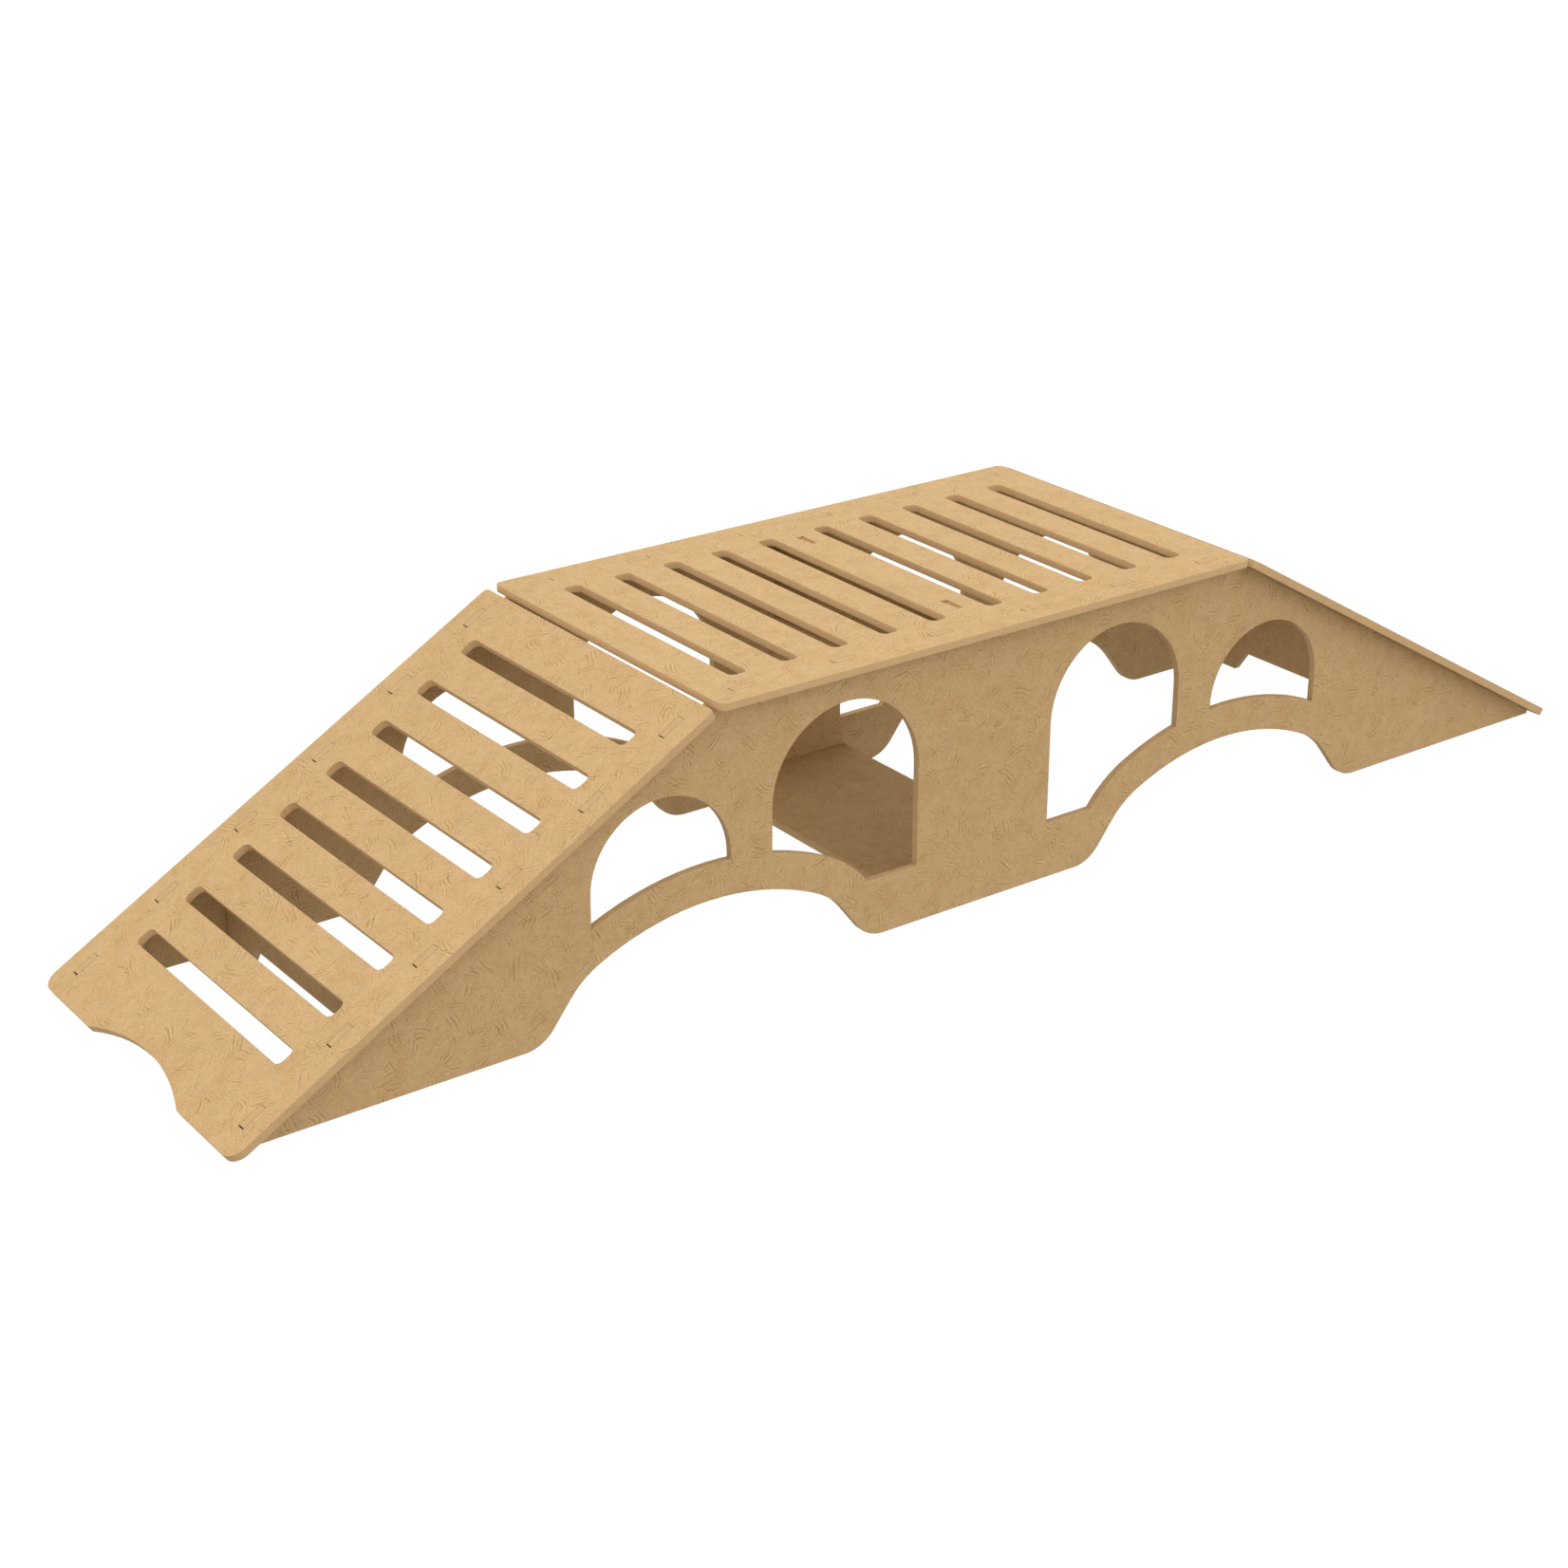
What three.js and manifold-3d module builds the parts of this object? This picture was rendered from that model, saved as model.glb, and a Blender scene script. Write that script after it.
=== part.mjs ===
// Flat-pack play bridge for small pets: a slatted deck with a ramp at each end
// on two arched side panels, with a floor plate and a cross rib under the deck
// and a brace under each ramp. Every piece is 6 mm fibreboard. The deck and the
// ramps drop onto tabs of the side panels, which come up flush through them.
// The boards in between sit in shallow grooves in the side panels' inner faces.
//
// Millimetres, +Z up. The origin is on the floor, at the middle of the
// footprint. X runs along the bridge and Y across it.

import * as THREE from 'three';
import { mergeVertices } from 'three/addons/utils/BufferGeometryUtils.js';
import Module from 'manifold-3d';

const wasm = await Module();
wasm.setup();

// ---------------------------------------------------------------- dimensions

const BOARD = 6;                  // board thickness
const GAP = 0.3;                  // running clearance between touching pieces

// deck
const DECK_LENGTH = 500;          // along X
const WIDTH = 300;                // deck and ramps, along Y
const DECK_UNDERSIDE = 220;       // height of the deck's lower face
const DECK_CORNER_R = 6;          // corners of the deck
const RAMP_FOOT_R = 12;           // corners of a ramp's lower end
const RAMP_HEAD_R = 4;            // and of its upper end

// slots across the deck and the ramps
const SLOT_LENGTH = 220;
const SLOT_WIDTH = 15;
const SLOT_PITCH = 45;
const SLOT_CORNER_R = 5;
const DECK_SLOTS_PER_SIDE = 5;
const DECK_SLOT_FIRST = 27;       // first slot's middle, from the middle of the deck
const RAMP_SLOTS = 8;
const RAMP_SLOT_FIRST = 72.5;     // first slot's middle, from the ramp's lower end

// ramps
const RAMP_ANGLE = 30;            // degrees
const RAMP_TOP_GAP = 4.1;         // from the deck end to the ramp's upper end, along the slope
const RAMP_NOTCH_HALF = 71;       // scooped lower end: half width and depth
const RAMP_NOTCH_DEPTH = 15.3;

// side panels
const SIDE_OUTER_Y = 134;         // outer face
const ARCH_X = 250;               // middle of each floor arch
const ARCH_R = 212;
const ARCH_APEX = 71.8;           // height of the arch's crown
const ARCH_END_ANGLE = 26;        // degrees from the crown where the haunch starts
const HAUNCH_R = 70;              // blend from the arch into the straight flank
const FLANK_ANGLE = 52.6;         // degrees, slope of the flank
const FOOT_R = 30;                // rounding from the flank to the foot
const SILL_RISE = 28;             // window sills lie this far outside the arch
const TALL_X = 130;               // tall arched window: middle, half width, springing height
const TALL_HALF = 66;
const TALL_SPRING = 128.3;
const TALL_SILL = 46.2;           // flat part of the tall window's sill
const SMALL_X = 290.5;            // small arched window
const SMALL_HALF = 58.5;
const SMALL_SPRING = 102.6;
const TIP_HEIGHT = 3;             // blunt tip of the side panel under the ramp's lower end

// grooves in the side panels' inner faces
const GROOVE_DEPTH = 3;

// tabs and mortises
const TAB = 18.6;                 // tab length
const MORTISE = 20;               // mortise length
const DECK_TABS = [-220, -132, -44, 44, 132, 220];      // along the deck
const RAMP_TAB_FIRST = 30;        // from the ramp's lower end, along the slope
const RAMP_TAB_PITCH = 76;
const RAMP_TAB_COUNT = 6;

// floor plate between the side panels
const FLOOR_HALF_X = 69;
const FLOOR_TOP = 21;

// cross rib under the middle of the deck
const RIB_BOTTOM = 150;           // height of its lower edge
const RIB_TOP_TABS_Y = [-90, 90]; // tabs up into the deck
const RIB_TOP_TAB = 19.4;
const RIB_TAB_RECESS = 2;         // these tabs stop below the deck's upper face

// braces under the ramps
const BRACE_X = 496.4;            // middle of the board
const BRACE_CLEAR = 18.7;         // height of the raised middle of the lower edge
const BRACE_CLEAR_HALF = 82;      // half width of that raised part, at its top
const BRACE_FOOT_HALF = 95;       // and at the floor

// ------------------------------------------------------------------- helpers

const rad = THREE.MathUtils.degToRad;
const SIN = Math.sin(rad(RAMP_ANGLE));
const COS = Math.cos(rad(RAMP_ANGLE));
const SLOPE = DECK_UNDERSIDE / SIN;              // slope length, deck end to floor
const RAMP_LENGTH = SLOPE - RAMP_TOP_GAP;
const SIDE_INNER_Y = SIDE_OUTER_Y - BOARD;
const TAB_Y = SIDE_OUTER_Y - BOARD / 2;          // middle of a side panel
const DECK_TOP = DECK_UNDERSIDE + BOARD;

function steps(radius, sweep) {
  // segments for an arc: about 0.08 mm from the true curve
  const step = 2 * Math.acos(1 - Math.min(0.5, 0.08 / radius));
  return Math.max(3, Math.ceil(Math.abs(sweep) / step));
}

// points of an arc from angle a0 to a1 (radians), both ends included
function arc(cx, cy, r, a0, a1) {
  const n = steps(r, a1 - a0);
  const out = [];
  for (let i = 0; i <= n; i++) {
    const a = a0 + (a1 - a0) * i / n;
    out.push(new THREE.Vector2(cx + r * Math.cos(a), cy + r * Math.sin(a)));
  }
  return out;
}

// drops points that repeat the one before, and a last point that repeats the first
function clean(points, closed = true) {
  const out = [];
  for (const p of points) {
    if (!out.length || out[out.length - 1].distanceTo(p) > 1e-4) out.push(p);
  }
  if (closed && out[0].distanceTo(out[out.length - 1]) < 1e-4) out.pop();
  return out;
}

const P = (x, y) => new THREE.Vector2(x, y);

// rectangle, optionally with round corners
function rect(x0, y0, x1, y1, r = 0) {
  if (!r) return [P(x0, y0), P(x1, y0), P(x1, y1), P(x0, y1)];
  return [
    ...arc(x0 + r, y0 + r, r, Math.PI, 1.5 * Math.PI),
    ...arc(x1 - r, y0 + r, r, 1.5 * Math.PI, 2 * Math.PI),
    ...arc(x1 - r, y1 - r, r, 0, 0.5 * Math.PI),
    ...arc(x0 + r, y1 - r, r, 0.5 * Math.PI, Math.PI),
  ];
}

function extrude(points, depth) {
  return new THREE.ExtrudeGeometry(new THREE.Shape(clean(points)), { depth, steps: 1, bevelEnabled: false, curveSegments: 1 });
}

// closed geometry to a solid, and back
function toSolid(geometry) {
  const g = geometry.clone();
  g.deleteAttribute('normal');
  g.deleteAttribute('uv');
  const merged = mergeVertices(g, 1e-5);
  return new wasm.Manifold(new wasm.Mesh({
    numProp: 3,
    vertProperties: new Float32Array(merged.attributes.position.array),
    triVerts: new Uint32Array(merged.index.array),
  }));
}

function toGeometry(solid) {
  const mesh = solid.getMesh();
  const g = new THREE.BufferGeometry();
  g.setAttribute('position', new THREE.BufferAttribute(new Float32Array(mesh.vertProperties), 3));
  g.setIndex(new THREE.BufferAttribute(new Uint32Array(mesh.triVerts), 1));
  g.computeVertexNormals();
  return g;
}

// a flat board with its outline cut out, and each hole cut right through it
function board(outline, holes, thickness = BOARD) {
  const blank = extrude(outline, thickness);
  if (!holes.length) return blank;
  let solid = toSolid(blank);
  for (const h of holes) {
    const cutter = extrude(h, thickness + 2);
    cutter.translate(0, 0, -1);
    solid = solid.subtract(toSolid(cutter));
  }
  return toGeometry(solid);
}

const FACE = { color: 0xd9b383, roughness: 0.82, metalness: 0 };
function piece(name, geometry) {
  const m = new THREE.Mesh(geometry, new THREE.MeshStandardMaterial(FACE));
  m.name = name;
  return m;
}

// board drawn in Y,Z and extruded along +X from x
function standAcross(mesh, x) {
  const basis = new THREE.Matrix4().makeBasis(
    new THREE.Vector3(0, 1, 0), new THREE.Vector3(0, 0, 1), new THREE.Vector3(1, 0, 0));
  mesh.quaternion.setFromRotationMatrix(basis);
  mesh.position.set(x, 0, 0);
  return mesh;
}

// --------------------------------------------------------------- side panels

const archZ = ARCH_APEX - ARCH_R;                // height of the arch's centre

// The crown and the haunch of one floor arch, or of a curve that lies a given
// distance outside them, from the crown outwards: (distance from the arch's
// middle, height) pairs.
function archCurve(offset = 0) {
  const e = rad(ARCH_END_ANGLE), f = rad(FLANK_ANGLE);
  const hx = (ARCH_R - HAUNCH_R) * Math.sin(e), hz = archZ + (ARCH_R - HAUNCH_R) * Math.cos(e);
  return clean([
    ...arc(0, archZ, ARCH_R + offset, Math.PI / 2, Math.PI / 2 - e),
    ...arc(hx, hz, HAUNCH_R + offset, Math.PI / 2 - e, Math.PI / 2 - f),
  ], false);
}

// half of one floor arch, from the foot up to the crown
function archHalf() {
  const f = rad(FLANK_ANGLE);
  const curve = archCurve();
  const { x: fx, y: fz } = curve[curve.length - 1];
  // the foot's rounding is tangent to the flank and to the floor
  const tz = FOOT_R * (1 - Math.cos(f));
  const tx = fx + (fz - tz) / Math.tan(f);
  const cx = tx + FOOT_R * Math.sin(f);
  const foot = arc(cx, FOOT_R, FOOT_R, 1.5 * Math.PI - f, 1.5 * Math.PI);
  return [...curve, ...foot].reverse();
}

// half of the curve that a window's sill follows, parallel to the arch, with
// the flank carried on down to the floor
function sillCurve() {
  const half = archCurve(SILL_RISE);
  const end = half[half.length - 1];
  return [...half, P(end.x + end.y / Math.tan(rad(FLANK_ANGLE)), 0)];
}

// The curved sill between two places on X, from left to right, for the arch on
// the right.
function sill(x0, x1) {
  const half = sillCurve();
  const all = [...half.map(p => P(ARCH_X - p.x, p.y)).reverse(), ...half.map(p => P(ARCH_X + p.x, p.y))];
  const pts = clean(all, false);
  const at = x => {
    for (let i = 1; i < pts.length; i++) {
      const a = pts[i - 1], b = pts[i];
      if (x >= a.x && x <= b.x) return P(x, a.y + (b.y - a.y) * (x - a.x) / (b.x - a.x));
    }
    throw new Error('no sill at ' + x);
  };
  return [at(x0), ...pts.filter(p => p.x > x0 + 0.5 && p.x < x1 - 0.5), at(x1)];
}

// where that curve comes down to a given height, on its inner side
function sillReach(height) {
  const half = sillCurve();
  for (let i = 1; i < half.length; i++) {
    const a = half[i - 1], b = half[i];
    if (a.y >= height && b.y <= height) return ARCH_X - (a.x + (b.x - a.x) * (a.y - height) / (a.y - b.y));
  }
  throw new Error('the sill stays above ' + height);
}

function tallWindow() {
  const x0 = TALL_X - TALL_HALF, x1 = TALL_X + TALL_HALF;
  return [
    P(x0, TALL_SILL), ...sill(sillReach(TALL_SILL), x1),
    ...arc(TALL_X, TALL_SPRING, TALL_HALF, 0, Math.PI),
  ];
}

function smallWindow() {
  const x0 = SMALL_X - SMALL_HALF, x1 = SMALL_X + SMALL_HALF;
  return [...sill(x0, x1), ...arc(SMALL_X, SMALL_SPRING, SMALL_HALF, 0, Math.PI)];
}

const mirror = pts => pts.map(p => P(-p.x, p.y)).reverse();

// a tab on the right-hand slope: s is the distance from the ramp's lower end
function slopePoint(s, out) {
  // on the slope line through (DECK_LENGTH / 2, DECK_UNDERSIDE), out is normal to it
  const d = SLOPE - s;
  return P(DECK_LENGTH / 2 + d * COS + out * SIN, DECK_UNDERSIDE - d * SIN + out * COS);
}

const rampTabs = Array.from({ length: RAMP_TAB_COUNT }, (_, k) => RAMP_TAB_FIRST + RAMP_TAB_PITCH * k);

function sideOutline() {
  const right = [];
  // right half, counter-clockwise: centre foot, arch, outer foot, tip, slope, top
  const half = archHalf();
  right.push(...half.map(p => P(ARCH_X - p.x, p.y)));
  right.push(...half.map(p => P(ARCH_X + p.x, p.y)).reverse());
  const tipS = TIP_HEIGHT / SIN;
  const tip = slopePoint(tipS, -GAP);
  right.push(P(tip.x, 0), tip);
  for (const s of rampTabs) {
    const a = s + MORTISE / 2 - GAP - TAB, b = s + MORTISE / 2 - GAP;
    right.push(slopePoint(a, -GAP), slopePoint(a, BOARD), slopePoint(b, BOARD), slopePoint(b, -GAP));
  }
  // corner where the slope meets the level top edge
  const z = DECK_UNDERSIDE - GAP;
  const x = DECK_LENGTH / 2 + (GAP * (1 - COS)) / SIN * -1;
  right.push(P(x, z));
  return right;
}

function sideTop() {
  // level top edge, from right to left, with the deck tabs
  const out = [];
  for (const x of [...DECK_TABS].reverse()) {
    const a = x - MORTISE / 2 + GAP, b = a + TAB;
    out.push(P(b, DECK_UNDERSIDE - GAP), P(b, DECK_TOP), P(a, DECK_TOP), P(a, DECK_UNDERSIDE - GAP));
  }
  return out;
}

// grooves as rectangles in X,Z, one for each board that ends in the panel
function grooves() {
  const g = BOARD / 2 + GAP, top = DECK_TOP + 20;
  return [
    rect(-FLOOR_HALF_X - GAP, FLOOR_TOP - BOARD - GAP, FLOOR_HALF_X + GAP, FLOOR_TOP + GAP),
    rect(-g, RIB_BOTTOM - GAP, g, top),
    rect(-BRACE_X - g, -5, -BRACE_X + g, top),
    rect(BRACE_X - g, -5, BRACE_X + g, top),
  ];
}

// drawn in X,Z with the outer face at the back of the sheet: z runs inwards
function sidePanelGeometry() {
  const right = sideOutline();
  const outline = [...right, ...sideTop(), ...mirror(right)];
  const holes = [tallWindow(), mirror(tallWindow()), smallWindow(), mirror(smallWindow())];
  let solid = toSolid(board(outline, holes));
  for (const h of grooves()) {
    const cutter = extrude(h, GROOVE_DEPTH + 2);
    cutter.translate(0, 0, BOARD - GROOVE_DEPTH);
    solid = solid.subtract(toSolid(cutter));
  }
  return toGeometry(solid);
}

// the two side panels are the same piece, turned half round to face each other
function sidePanel(name, side) {
  const m = piece(name, sidePanelGeometry());
  const ex = new THREE.Vector3(side, 0, 0);
  const ey = new THREE.Vector3(0, 0, 1);
  const ez = new THREE.Vector3(0, -side, 0);      // from the outer face inwards
  m.quaternion.setFromRotationMatrix(new THREE.Matrix4().makeBasis(ex, ey, ez));
  m.position.set(0, side * SIDE_OUTER_Y, 0);
  return m;
}

// ---------------------------------------------------------------------- deck

function deckPanel() {
  const outline = rect(-DECK_LENGTH / 2, -WIDTH / 2, DECK_LENGTH / 2, WIDTH / 2, DECK_CORNER_R);
  const holes = [];
  for (let k = 0; k < DECK_SLOTS_PER_SIDE; k++) {
    for (const s of [-1, 1]) {
      const x = s * (DECK_SLOT_FIRST + SLOT_PITCH * k);
      holes.push(rect(x - SLOT_WIDTH / 2, -SLOT_LENGTH / 2, x + SLOT_WIDTH / 2, SLOT_LENGTH / 2, SLOT_CORNER_R));
    }
  }
  for (const x of DECK_TABS) {
    for (const y of [-TAB_Y, TAB_Y]) {
      holes.push(rect(x - MORTISE / 2, y - BOARD / 2 - GAP, x + MORTISE / 2, y + BOARD / 2 + GAP));
    }
  }
  for (const y of RIB_TOP_TABS_Y) {
    holes.push(rect(-BOARD / 2 - GAP, y - MORTISE / 2, BOARD / 2 + GAP, y + MORTISE / 2));
  }
  const m = piece('deck_panel', board(outline, holes));
  m.position.set(0, 0, DECK_UNDERSIDE);
  return m;
}

// --------------------------------------------------------------------- ramps

// drawn flat: u across the ramp, v up the slope from the lower end
function rampGeometry() {
  const w = WIDTH / 2, L = RAMP_LENGTH, r = RAMP_FOOT_R, q = RAMP_HEAD_R;
  const h = RAMP_NOTCH_HALF, d = RAMP_NOTCH_DEPTH;
  const R = (h * h + d * d) / (2 * d), a = Math.asin(h / R);
  const outline = [
    ...arc(-w + r, r, r, Math.PI, 1.5 * Math.PI),
    ...arc(0, d - R, R, Math.PI / 2 + a, Math.PI / 2 - a),
    ...arc(w - r, r, r, 1.5 * Math.PI, 2 * Math.PI),
    ...arc(w - q, L - q, q, 0, 0.5 * Math.PI),
    ...arc(-w + q, L - q, q, 0.5 * Math.PI, Math.PI),
  ];
  const holes = [];
  for (let k = 0; k < RAMP_SLOTS; k++) {
    const v = RAMP_SLOT_FIRST + SLOT_PITCH * k;
    holes.push(rect(-SLOT_LENGTH / 2, v - SLOT_WIDTH / 2, SLOT_LENGTH / 2, v + SLOT_WIDTH / 2, SLOT_CORNER_R));
  }
  for (const v of rampTabs) {
    for (const u of [-TAB_Y, TAB_Y]) {
      holes.push(rect(u - BOARD / 2 - GAP, v - MORTISE / 2, u + BOARD / 2 + GAP, v + MORTISE / 2));
    }
  }
  return board(outline, holes);
}

// a frame at the ramp's lower end, turned so that v runs up the slope
function ramp(name, side) {
  const lower = new THREE.Group();
  lower.position.set(side * (DECK_LENGTH / 2 + SLOPE * COS), 0, 0);
  const ev = new THREE.Vector3(-side * COS, 0, SIN);            // up the slope
  const ew = new THREE.Vector3(side * SIN, 0, COS);             // out of the upper face
  const eu = new THREE.Vector3().crossVectors(ev, ew);          // across
  lower.quaternion.setFromRotationMatrix(new THREE.Matrix4().makeBasis(eu, ev, ew));
  lower.add(piece(name, rampGeometry()));
  return lower;
}

// --------------------------------------------------------- boards in between

// the boards' ends reach into the grooves
const BETWEEN_Y = SIDE_INNER_Y + GROOVE_DEPTH - GAP;

function centerFloor() {
  const m = piece('center_floor', board(rect(-FLOOR_HALF_X, -BETWEEN_Y, FLOOR_HALF_X, BETWEEN_Y), []));
  m.position.set(0, 0, FLOOR_TOP - BOARD);
  return m;
}

// the rib, drawn in Y,Z, with two tabs on its upper edge
function centerRib() {
  const y = BETWEEN_Y, top = DECK_UNDERSIDE - GAP;
  const tabTop = DECK_TOP - RIB_TAB_RECESS, t = RIB_TOP_TAB / 2;
  const outline = [P(-y, RIB_BOTTOM), P(y, RIB_BOTTOM), P(y, top)];
  for (const c of [...RIB_TOP_TABS_Y].reverse()) {
    outline.push(P(c + t, top), P(c + t, tabTop), P(c - t, tabTop), P(c - t, top));
  }
  outline.push(P(-y, top));
  return standAcross(piece('center_rib', board(outline, [])), -BOARD / 2);
}

// a brace, drawn in Y,Z: its upper edge lies just under the ramp, and the
// middle of its lower edge is raised
function brace(name, side) {
  const y = BETWEEN_Y;
  const far = BRACE_X + BOARD / 2;               // the ramp is lowest over the outer face
  const top = DECK_UNDERSIDE - (far - DECK_LENGTH / 2) * SIN / COS - GAP / COS;
  const outline = [
    P(-BRACE_CLEAR_HALF, BRACE_CLEAR), P(BRACE_CLEAR_HALF, BRACE_CLEAR),
    P(BRACE_FOOT_HALF, 0), P(y, 0), P(y, top), P(-y, top), P(-y, 0), P(-BRACE_FOOT_HALF, 0),
  ];
  return standAcross(piece(name, board(outline, [])), side * BRACE_X - BOARD / 2);
}

// ------------------------------------------------------------------ assembly

const bridge = new THREE.Group();
bridge.add(
  sidePanel('side_panel_front', -1),
  sidePanel('side_panel_back', 1),
  centerFloor(),
  centerRib(),
  brace('brace_left', -1),
  brace('brace_right', 1),
  deckPanel(),
  ramp('ramp_left', -1),
  ramp('ramp_right', 1),
);

export default bridge;
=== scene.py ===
import math

import bmesh
import bpy
from mathutils import Matrix, Vector
from mathutils.geometry import delaunay_2d_cdt


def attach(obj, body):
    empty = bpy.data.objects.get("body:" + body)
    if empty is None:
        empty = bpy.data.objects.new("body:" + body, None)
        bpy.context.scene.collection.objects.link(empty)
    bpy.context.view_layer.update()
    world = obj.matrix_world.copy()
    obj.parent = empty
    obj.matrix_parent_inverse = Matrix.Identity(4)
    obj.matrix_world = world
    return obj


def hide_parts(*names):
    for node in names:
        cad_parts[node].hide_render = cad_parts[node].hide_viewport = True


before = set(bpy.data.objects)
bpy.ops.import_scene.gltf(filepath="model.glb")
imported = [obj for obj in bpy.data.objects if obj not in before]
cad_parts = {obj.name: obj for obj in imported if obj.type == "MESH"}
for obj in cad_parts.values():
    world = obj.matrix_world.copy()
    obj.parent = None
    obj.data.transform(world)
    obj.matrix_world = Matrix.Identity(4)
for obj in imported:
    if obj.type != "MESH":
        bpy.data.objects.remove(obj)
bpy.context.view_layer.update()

MM = 0.001
C30, S30 = math.cos(math.radians(30)), math.sin(math.radians(30))

# Each board's own directions: along it, up or across it, and out of its face.
BOARDS = {
    "deck_panel": ("deck", (1, 0, 0), (0, 1, 0), (0, 0, 1)),
    "ramp_left": ("left_ramp", (C30, 0, S30), (0, 1, 0), (-S30, 0, C30)),
    "ramp_right": ("right_ramp", (C30, 0, -S30), (0, 1, 0), (S30, 0, C30)),
    "side_panel_front": ("frame", (1, 0, 0), (0, 0, 1), (0, -1, 0)),
    "side_panel_back": ("frame", (1, 0, 0), (0, 0, 1), (0, -1, 0)),
    "center_floor": ("frame", (1, 0, 0), (0, 1, 0), (0, 0, 1)),
    "center_rib": ("frame", (0, 1, 0), (0, 0, 1), (1, 0, 0)),
    "brace_left": ("frame", (0, 1, 0), (0, 0, 1), (1, 0, 0)),
    "brace_right": ("frame", (0, 1, 0), (0, 0, 1), (1, 0, 0)),
}

FACE_RGB = (0.493, 0.322, 0.154)     # sanded face of the board
CUT_RGB = (0.520, 0.338, 0.168)      # sawn edge
# seen darker through the slots; board or shade can't be told
FACE_PAINTED_SHADE = {"center_rib": (0.80, 0.75, 0.62)}       # painted shade: the cross rib under the deck, seen through the slots, is made darker and browner
# sawn edges: painted light on the deck's edges (4% lighter), painted shade on the side panels' edges (6% darker)
CUT_PAINTED_LIGHT_AND_SHADE = {"deck_panel": 1.04, "side_panel_front": 0.94, "side_panel_back": 0.94}
EDGE_ROUND = 0.45 * MM               # broken edges
BACKGROUND = 1.43
FLOOR_GLOW = 0.54


# ------------------------------------------------------------------ materials

class Tree:
    """Short spellings for building a node tree."""

    def __init__(self, tree):
        self.t = tree

    def put(self, socket, value):
        if hasattr(value, "is_output"):
            self.t.links.new(value, socket)
        else:
            socket.default_value = value

    def math(self, op, a, b=None, c=None, clamp=False):
        n = self.t.nodes.new("ShaderNodeMath")
        n.operation = op
        n.use_clamp = clamp
        for i, v in enumerate((a, b, c)):
            if v is not None:
                self.put(n.inputs[i], v)
        return n.outputs[0]

    def vec(self, op, a, b=None, scale=None):
        n = self.t.nodes.new("ShaderNodeVectorMath")
        n.operation = op
        self.put(n.inputs[0], a)
        if b is not None:
            self.put(n.inputs[1], b)
        if scale is not None:
            self.put(n.inputs["Scale"], scale)
        return n.outputs["Value"] if op in ("DOT_PRODUCT", "LENGTH", "DISTANCE") else n.outputs["Vector"]

    def join(self, x, y, z):
        n = self.t.nodes.new("ShaderNodeCombineXYZ")
        for i, v in enumerate((x, y, z)):
            self.put(n.inputs[i], v)
        return n.outputs[0]

    def split(self, v):
        n = self.t.nodes.new("ShaderNodeSeparateXYZ")
        self.put(n.inputs[0], v)
        return n.outputs[0], n.outputs[1], n.outputs[2]

    def noise(self, v, scale, detail=2.0, rough=0.5, distortion=0.0):
        n = self.t.nodes.new("ShaderNodeTexNoise")
        n.noise_dimensions = "3D"
        n.inputs["Distortion"].default_value = distortion
        self.put(n.inputs["Vector"], v)
        self.put(n.inputs["Scale"], scale)
        self.put(n.inputs["Detail"], detail)
        self.put(n.inputs["Roughness"], rough)
        return n.outputs["Fac"], n.outputs["Color"]

    def cells(self, v, scale):
        n = self.t.nodes.new("ShaderNodeTexVoronoi")
        n.voronoi_dimensions = "2D"
        n.feature = "F1"
        self.put(n.inputs["Vector"], v)
        self.put(n.inputs["Scale"], scale)
        self.put(n.inputs["Randomness"], 1.0)
        return n.outputs["Position"], n.outputs["Color"]

    def turn(self, v, angle):
        n = self.t.nodes.new("ShaderNodeVectorRotate")
        n.rotation_type = "Z_AXIS"
        self.put(n.inputs["Vector"], v)
        self.put(n.inputs["Angle"], angle)
        return n.outputs[0]

    def ramp(self, x, lo, hi, a=0.0, b=1.0):
        n = self.t.nodes.new("ShaderNodeMapRange")
        n.interpolation_type = "SMOOTHSTEP"
        self.put(n.inputs["Value"], x)
        for i, v in enumerate((lo, hi, a, b)):
            self.put(n.inputs[1 + i], v)
        return n.outputs["Result"]

    def mix(self, f, a, b):
        n = self.t.nodes.new("ShaderNodeMix")
        n.data_type = "RGBA"
        n.clamp_factor = True
        self.put(n.inputs[0], f)
        self.put(n.inputs[6], a)
        self.put(n.inputs[7], b)
        return n.outputs[2]


def board_coordinates(k, u, v, w, seed):
    """Millimetres along, up and out of the board, from the object's own coordinates."""
    tc = k.t.nodes.new("ShaderNodeTexCoord").outputs["Object"]
    parts = [k.math("MULTIPLY_ADD", k.vec("DOT_PRODUCT", tc, axis), 1000.0, shift)
             for axis, shift in zip((u, v, w), (seed * 731.0, seed * 417.0, seed * 97.0))]
    return k.join(*parts)


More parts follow.
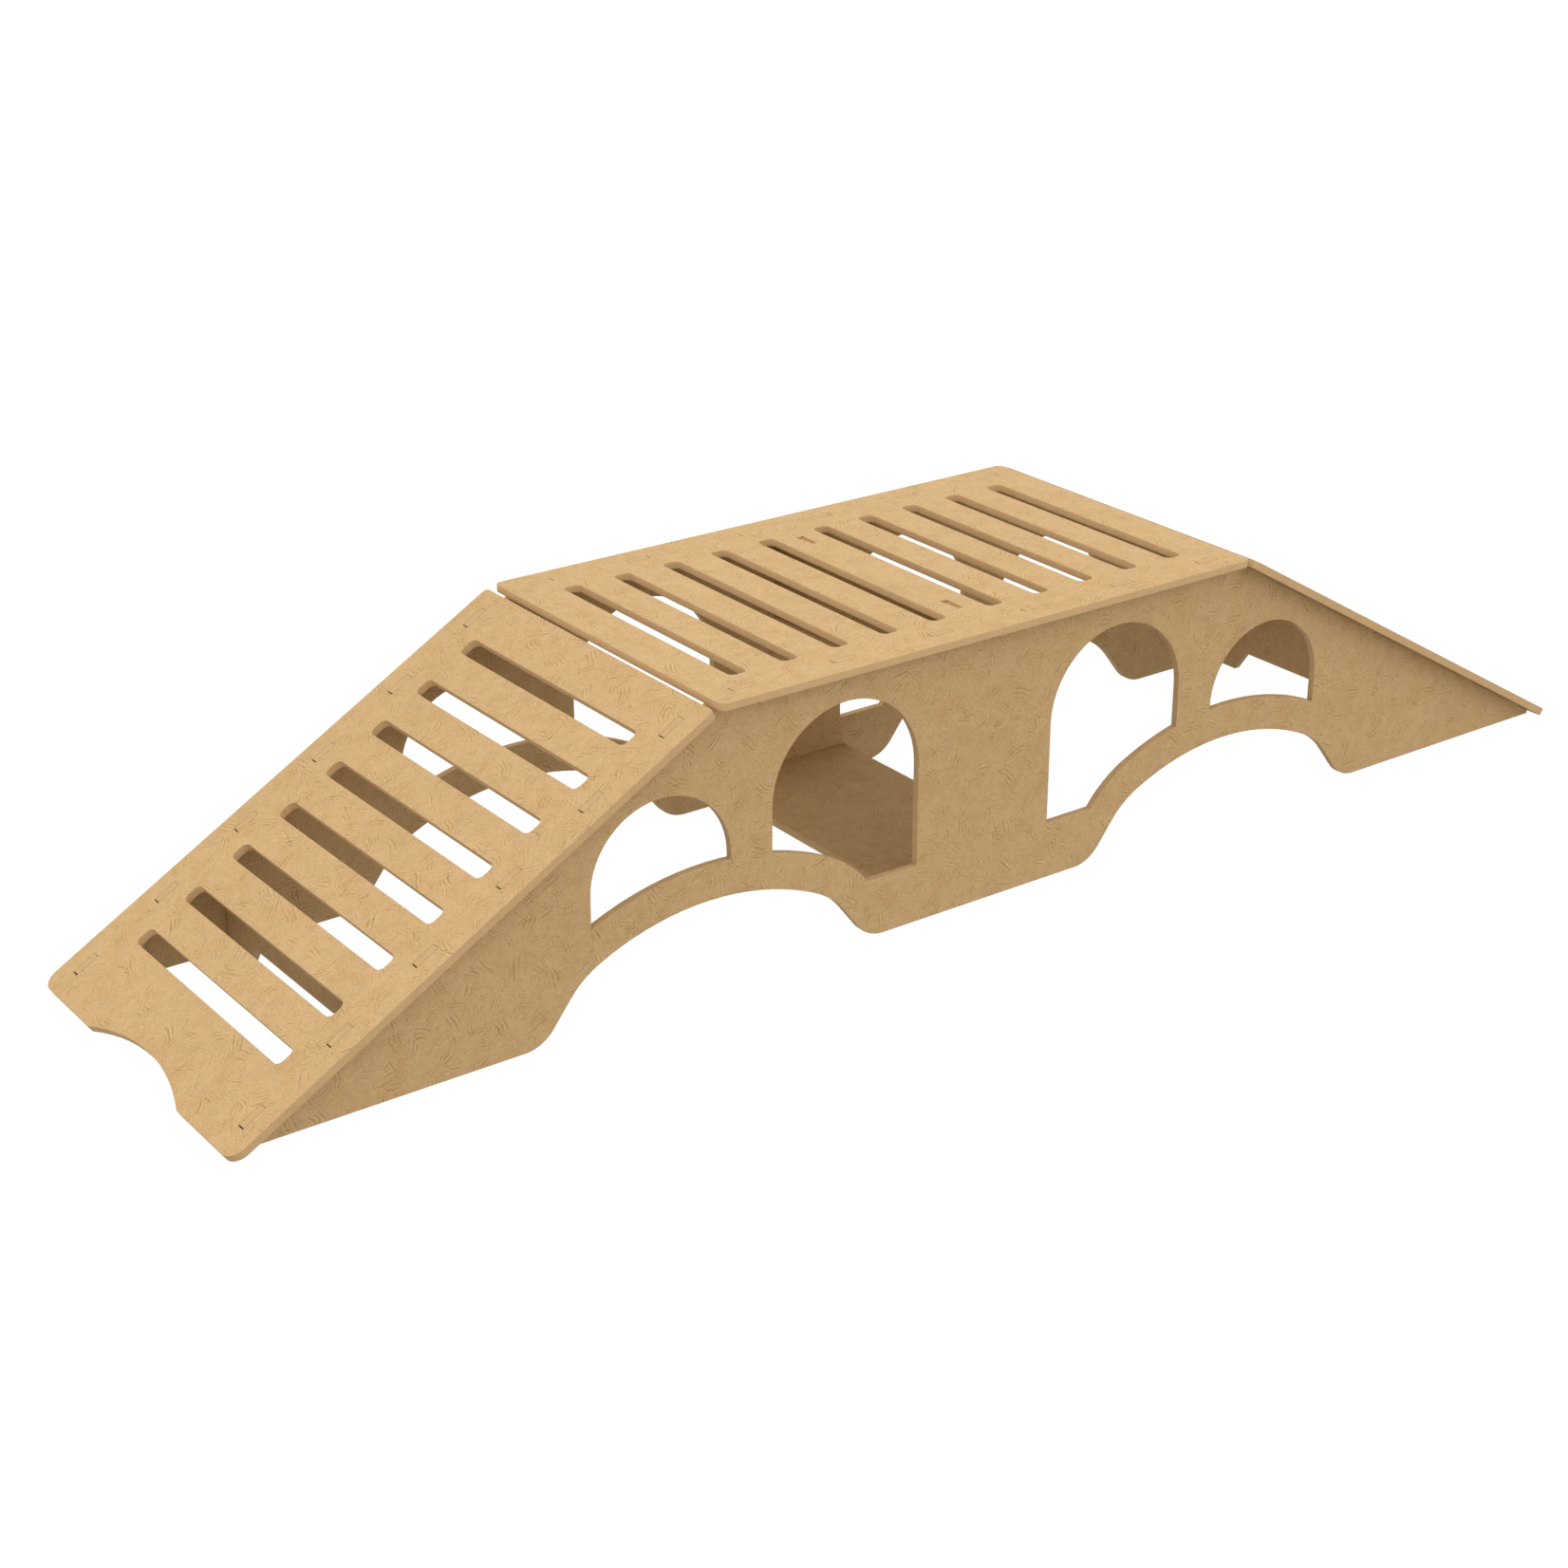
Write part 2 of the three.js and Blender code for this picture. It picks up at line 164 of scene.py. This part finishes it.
def strokes(k, p, cell, length, pitch, width, share, waviness, wobble):
    """Little groups of near-parallel fibres, one group to a cell: their mask, and a painted highlight along its
    lit side.
    """
    pos, rnd = k.cells(p, 1.0 / cell)
    r0, r1, r2 = k.split(rnd)
    local = k.vec("SUBTRACT", p, pos)
    local = k.turn(local, k.math("MULTIPLY", r0, 6.2832))
    x, y, _ = k.split(local)
    bend = k.math("MULTIPLY", k.math("SUBTRACT", r2, 0.5), waviness)
    y = k.math("ADD", y, k.math("MULTIPLY", bend, k.math("MULTIPLY", x, x)))
    y = k.math("ADD", y, wobble)
    row = k.math("ROUND", k.math("DIVIDE", y, pitch))
    off = k.math("SUBTRACT", y, k.math("MULTIPLY", row, pitch))
    # every row has its own length, start and strength
    own = k.t.nodes.new("ShaderNodeTexWhiteNoise")
    own.noise_dimensions = "2D"
    k.put(own.inputs["Vector"], k.join(row, k.math("MULTIPLY", r1, 91.0), 0.0))
    o0, o1, o2 = k.split(own.outputs["Color"])
    reach = k.math("MULTIPLY", k.math("MULTIPLY_ADD", o0, 0.7, 0.3), length)
    mid = k.math("MULTIPLY", k.math("SUBTRACT", o1, 0.5), length * 0.35)
    along = k.math("ABSOLUTE", k.math("SUBTRACT", x, mid))
    fade = k.ramp(k.math("DIVIDE", along, reach), 0.25, 0.55, 1.0, 0.0)
    near = k.ramp(k.math("ABSOLUTE", row), 0.7, 2.3, 1.0, 0.0)
    there = k.ramp(r1, 1.0 - share - 0.08, 1.0 - share + 0.08)
    strength = k.math("MULTIPLY", k.math("MULTIPLY", fade, near), k.math("MULTIPLY", there, k.math("MULTIPLY_ADD", o2, 0.8, 0.2)))
    dark = k.math("MULTIPLY", k.ramp(k.math("ABSOLUTE", off), width * 0.15, width, 1.0, 0.0), strength)
    # painted highlight: a light stripe beside each fibre, on one side only, as if lit
    painted_highlight = k.math("MULTIPLY", k.ramp(k.math("ABSOLUTE", k.math("SUBTRACT", off, width * 1.15)), width * 0.1, width, 1.0, 0.0), strength)
    return dark, painted_highlight


def new_material(name, rough):
    m = bpy.data.materials.new(name)
    m.use_nodes = True
    nt = m.node_tree
    nt.nodes.clear()
    out = nt.nodes.new("ShaderNodeOutputMaterial")
    bsdf = nt.nodes.new("ShaderNodeBsdfPrincipled")
    nt.links.new(bsdf.outputs[0], out.inputs[0])
    bsdf.inputs["Roughness"].default_value = rough
    bsdf.inputs["Specular IOR Level"].default_value = 0.10
    return m, Tree(nt), bsdf


def tint(k, base, amount):
    """base made brighter or darker by amount, a share that varies over the surface."""
    n = k.t.nodes.new("ShaderNodeVectorMath")
    n.operation = "SCALE"
    n.inputs[0].default_value = base[:3]
    k.put(n.inputs["Scale"], k.math("ADD", 1.0, amount))
    return n.outputs["Vector"]


def face_material(name, axes, seed, painted_light_and_shade):
    m, k, bsdf = new_material(name, 0.72)
    p = board_coordinates(k, *axes, seed)
    wob, _ = k.noise(p, 0.13, 2.0, 0.55)
    wobble = k.math("MULTIPLY", k.math("SUBTRACT", wob, 0.5), 4.5)
    big_d, big_highlight = strokes(k, p, 23.0, 21.0, 3.2, 1.2, 0.80, 0.05, wobble)
    q = k.vec("ADD", p, (311.0, 173.0, 0.0))
    mid_d, mid_highlight = strokes(k, q, 15.0, 15.0, 2.7, 1.05, 0.80, 0.08, wobble)
    r = k.vec("ADD", p, (57.0, 829.0, 0.0))
    fine_d, fine_highlight = strokes(k, r, 9.0, 9.0, 2.2, 0.85, 0.85, 0.12, wobble)
    cloud, _ = k.noise(p, 0.014, 3.0, 0.6)
    blotch, _ = k.noise(p, 0.085, 3.0, 0.6)
    grain, _ = k.noise(p, 0.75, 3.0, 0.65)
    dust, _ = k.noise(p, 2.6, 1.0, 0.5)
    ripple, _ = k.noise(p, 0.24, 2.0, 0.5, 1.6)

    def part(x, by, about=0.5):
        return k.math("MULTIPLY", k.math("SUBTRACT", x, about), by)

    total = part(cloud, 0.10)
    # the fibres' painted highlights brighten the tone here
    for t in (part(blotch, 0.10), part(ripple, 0.36), part(grain, 0.34), part(dust, 0.16),
              k.math("MULTIPLY", big_highlight, 0.17), k.math("MULTIPLY", mid_highlight, 0.15),
              k.math("MULTIPLY", fine_highlight, 0.13)):
        total = k.math("ADD", total, t)
    # the tone scaling here is painted shade on the rib and leaves the other boards as they are
    rgb = [a * b for a, b in zip(FACE_RGB, painted_light_and_shade)]
    light = tint(k, rgb, total)
    warm = tint(k, (rgb[0] * 0.96, rgb[1] * 0.94, rgb[2] * 0.88), total)
    fibre = tint(k, (rgb[0] * 0.56, rgb[1] * 0.51, rgb[2] * 0.40), total)
    hue, _ = k.noise(k.vec("ADD", p, (91.0, 13.0, 0.0)), 0.05, 2.0, 0.5)
    body = k.mix(k.ramp(hue, 0.45, 0.70), light, warm)
    f = k.math("ADD", k.math("MULTIPLY", big_d, 0.55),
               k.math("ADD", k.math("MULTIPLY", mid_d, 0.44), k.math("MULTIPLY", fine_d, 0.38)), clamp=True)
    k.put(bsdf.inputs["Base Color"], k.mix(f, body, fibre))
    k.put(bsdf.inputs["Roughness"], k.math("ADD", 0.70, part(grain, 0.16)))

    h = k.math("MULTIPLY", grain, 0.045)
    for t in (k.math("MULTIPLY", dust, 0.02), k.math("MULTIPLY", big_d, -0.075),
              k.math("MULTIPLY", mid_d, -0.05), k.math("MULTIPLY", fine_d, -0.03),
              k.math("MULTIPLY", blotch, 0.06)):
        h = k.math("ADD", h, t)
    bump = k.t.nodes.new("ShaderNodeBump")
    bump.inputs["Strength"].default_value = 0.6
    bump.inputs["Distance"].default_value = 1.0 * MM
    k.put(bump.inputs["Height"], h)
    k.put(bsdf.inputs["Normal"], bump.outputs[0])
    return m


def cut_material(name, axes, seed, painted_light_and_shade):
    """Sawn edge: finer, drier and greyer than the face, packed closer towards the two faces."""
    m, k, bsdf = new_material(name, 0.85)
    p = board_coordinates(k, *axes, seed)
    x, y, z = k.split(p)
    flat = k.join(k.math("MULTIPLY", x, 0.35), k.math("MULTIPLY", y, 0.35), k.math("MULTIPLY", z, 1.6))
    layers, _ = k.noise(flat, 0.9, 3.0, 0.6)
    grain, _ = k.noise(p, 1.3, 3.0, 0.65)
    blotch, _ = k.noise(p, 0.10, 2.0, 0.5)

    def part(v, by):
        return k.math("MULTIPLY", k.math("SUBTRACT", v, 0.5), by)

    total = k.math("ADD", k.math("ADD", part(layers, 0.34), part(grain, 0.30)), part(blotch, 0.16))
    # the tone scaling here paints light onto the deck's sawn edges and shade onto the side panels' sawn edges
    rgb = [a * painted_light_and_shade for a in CUT_RGB]
    light = tint(k, rgb, total)
    dark = tint(k, (rgb[0] * 0.80, rgb[1] * 0.76, rgb[2] * 0.70), total)
    k.put(bsdf.inputs["Base Color"], k.mix(k.ramp(layers, 0.45, 0.70, 0.0, 0.5), light, dark))
    k.put(bsdf.inputs["Roughness"], k.math("ADD", 0.82, part(grain, 0.2)))
    bump = k.t.nodes.new("ShaderNodeBump")
    bump.inputs["Strength"].default_value = 0.7
    bump.inputs["Distance"].default_value = 1.0 * MM
    k.put(bump.inputs["Height"], k.math("ADD", k.math("MULTIPLY", grain, 0.14), k.math("MULTIPLY", layers, 0.14)))
    k.put(bsdf.inputs["Normal"], bump.outputs[0])
    return m


# --------------------------------------------------------------------- boards

def in_joint(node, p):
    """Whether a point is on a tab's end or on a mortise's rim: those edges stay sharp, as cut."""
    if node in ("deck_panel", "ramp_left", "ramp_right"):
        return 127 * MM < abs(p.y) < 135 * MM or (abs(p.x) < 4 * MM and 75 * MM < abs(p.y) < 105 * MM)
    seat = 220 * MM - max(0.0, abs(p.x) - 250 * MM) * S30 / C30
    if node.startswith("side_panel"):
        return p.z > seat - 0.6 * MM or (abs(p.y) < 131.5 * MM and p.z > seat - 3 * MM)
    return node == "center_rib" and p.z > 219 * MM


def recut_flats(bm, axes):
    """Cuts every flat face of the board afresh into triangles that keep clear of its openings."""
    u, v, w = (Vector(a) for a in axes)
    groups = {}
    bm.normal_update()
    for f in bm.faces:
        up = f.normal.dot(w)
        if abs(up) > 0.9999:
            groups.setdefault((up > 0, round(f.calc_center_median().dot(w) * 1e5)), []).append(f)
    for (front, _), faces in groups.items():
        own = set(faces)
        rim = [e for f in faces for e in f.edges if sum(g in own for g in e.link_faces) == 1]
        rim = list(dict.fromkeys(rim))
        inner = list(dict.fromkeys(e for f in faces for e in f.edges if e not in set(rim)))
        verts = list(dict.fromkeys(p for e in rim for p in e.verts))
        number = {p: i for i, p in enumerate(verts)}
        flat = [Vector((p.co.dot(u), p.co.dot(v))) * 1000 for p in verts]
        pairs = [(number[e.verts[0]], number[e.verts[1]]) for e in rim]
        bmesh.ops.delete(bm, geom=faces, context="FACES_ONLY")
        bmesh.ops.delete(bm, geom=[e for e in inner if e.is_valid and not e.link_faces], context="EDGES")
        co, _, tris, from_verts, _, _ = delaunay_2d_cdt(flat, pairs, [], 0, 1e-5)
        out = {j: i for i, js in enumerate(from_verts) for j in js}
        walls = {frozenset((out[a], out[b])) for a, b in pairs}
        sides = {}
        for t, tri in enumerate(tris):
            for i in range(3):
                sides.setdefault(frozenset((tri[i], tri[i - 1])), []).append(t)
        within = {ts[0]: edge in walls for edge, ts in sides.items() if len(ts) == 1}
        queue = list(within)
        while queue:
            t = queue.pop()
            for i in range(3):
                edge = frozenset((tris[t][i], tris[t][i - 1]))
                for other in sides[edge]:
                    if other not in within:
                        within[other] = within[t] != (edge in walls)
                        queue.append(other)
        turn = (u.cross(v).dot(w) > 0) == front
        for t, tri in enumerate(tris):
            if within[t]:
                a, b, c = (co[i] for i in tri)
                ccw = (b - a).cross(c - a) > 0
                ring = [verts[from_verts[i][0]] for i in tri]
                bm.faces.new(ring if ccw == turn else ring[::-1])


def make_board(node, body, axes, seed):
    """The CAD board with its flat faces made whole and its edges broken, under its own name."""
    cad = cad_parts[node]
    bm = bmesh.new()
    bm.from_mesh(cad.data)
    bmesh.ops.remove_doubles(bm, verts=bm.verts, dist=1e-6)
    bmesh.ops.dissolve_limit(bm, angle_limit=math.radians(0.6), verts=bm.verts, edges=bm.edges)
    w = Vector(axes[2])
    bm.normal_update()
    flat = {f: abs(f.normal.dot(w)) > 0.99 for f in bm.faces}
    rims = [e for e in bm.edges if len(e.link_faces) == 2 and flat[e.link_faces[0]] != flat[e.link_faces[1]]
            and e.is_convex and not in_joint(node, (e.verts[0].co + e.verts[1].co) / 2)]
    bmesh.ops.bevel(bm, geom=rims, offset=EDGE_ROUND, offset_type="OFFSET", segments=2, profile=0.5,
                    affect="EDGES", clamp_overlap=True, material=-1)
    recut_flats(bm, axes)
    bm.normal_update()
    for f in bm.faces:
        up = abs(f.normal.dot(w))
        f.material_index = 0 if up > 0.80 else 1
        f.smooth = True
    for e in bm.edges:
        if len(e.link_faces) == 2:
            e.smooth = e.calc_face_angle(0.0) < math.radians(50)
    me = bpy.data.meshes.new(node + "_board")
    bm.to_mesh(me)
    bm.free()
    o = bpy.data.objects.new(node + "_board", me)
    bpy.context.scene.collection.objects.link(o)
    # the rib's face colour carries painted shade
    me.materials.append(face_material("mdf_face_" + node, axes, seed, FACE_PAINTED_SHADE.get(node, (1, 1, 1))))
    me.materials.append(cut_material("mdf_cut_" + node, axes, seed, CUT_PAINTED_LIGHT_AND_SHADE.get(node, 1.0)))
    wn = o.modifiers.new("flat_faces", "WEIGHTED_NORMAL")
    wn.keep_sharp = True
    wn.weight = 100
    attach(o, body)
    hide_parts(node)
    return o


for i, (node, (body, u, v, w)) in enumerate(BOARDS.items()):
    make_board(node, body, (u, v, w), i + 1)


# ---------------------------------------------------------------------- stage

def floor_material():
    m = bpy.data.materials.new("studio_floor")
    m.use_nodes = True
    nt = m.node_tree
    nt.nodes.clear()
    out = nt.nodes.new("ShaderNodeOutputMaterial")
    seen = nt.nodes.new("ShaderNodeEmission")
    seen.inputs["Color"].default_value = (1, 1, 1, 1)
    seen.inputs["Strength"].default_value = 0.97
    paper = nt.nodes.new("ShaderNodeBsdfDiffuse")
    paper.inputs["Color"].default_value = (0.07, 0.07, 0.07, 1)
    both = nt.nodes.new("ShaderNodeAddShader")
    nt.links.new(seen.outputs[0], both.inputs[0])
    nt.links.new(paper.outputs[0], both.inputs[1])
    dull = nt.nodes.new("ShaderNodeEmission")
    dull.inputs["Color"].default_value = (1, 1, 1, 1)
    dull.inputs["Strength"].default_value = FLOOR_GLOW
    pick = nt.nodes.new("ShaderNodeMixShader")
    path = nt.nodes.new("ShaderNodeLightPath")
    nt.links.new(path.outputs["Is Camera Ray"], pick.inputs[0])
    nt.links.new(dull.outputs[0], pick.inputs[1])
    nt.links.new(both.outputs[0], pick.inputs[2])
    nt.links.new(pick.outputs[0], out.inputs[0])
    return m


me = bpy.data.meshes.new("floor")
R = 9.0
me.from_pydata([(-R, -R, 0), (R, -R, 0), (R, R, 0), (-R, R, 0)], [], [(0, 1, 2, 3)])
me.materials.append(floor_material())
floor = bpy.data.objects.new("floor", me)
floor.location.z = -0.0002
bpy.context.scene.collection.objects.link(floor)

world = bpy.data.worlds.new("studio")
bpy.context.scene.world = world
world.use_nodes = True
bg = world.node_tree.nodes["Background"]
bg.inputs[0].default_value = (1, 1, 1, 1)
bg.inputs[1].default_value = BACKGROUND

# --------------------------------------------------------------------- camera

cam = bpy.data.cameras.new("camera")
cam.sensor_width = 36.0
cam.sensor_fit = "HORIZONTAL"
cam.lens = 64.67
co = bpy.data.objects.new("camera", cam)
bpy.context.scene.collection.objects.link(co)
C = Vector((-1258.71, -1598.97, 951.71)) * MM
F = Vector((0.53995196, 0.73714242, -0.40629168)).normalized()
Rt = Vector((0.80672801, -0.59092294, 0.0)).normalized()
F = (F + (Rt.cross(F) - Rt) * 0.00017).normalized()
Rt = F.cross(Vector((0, 0, 1))).normalized()
U = Rt.cross(F)
co.matrix_world = Matrix((
    (Rt.x, U.x, -F.x, C.x),
    (Rt.y, U.y, -F.y, C.y),
    (Rt.z, U.z, -F.z, C.z),
    (0, 0, 0, 1)))
cam.clip_start, cam.clip_end = 0.05, 60.0
bpy.context.scene.camera = co

bpy.context.scene.view_settings.view_transform = "Standard"
bpy.context.scene.view_settings.look = "None"
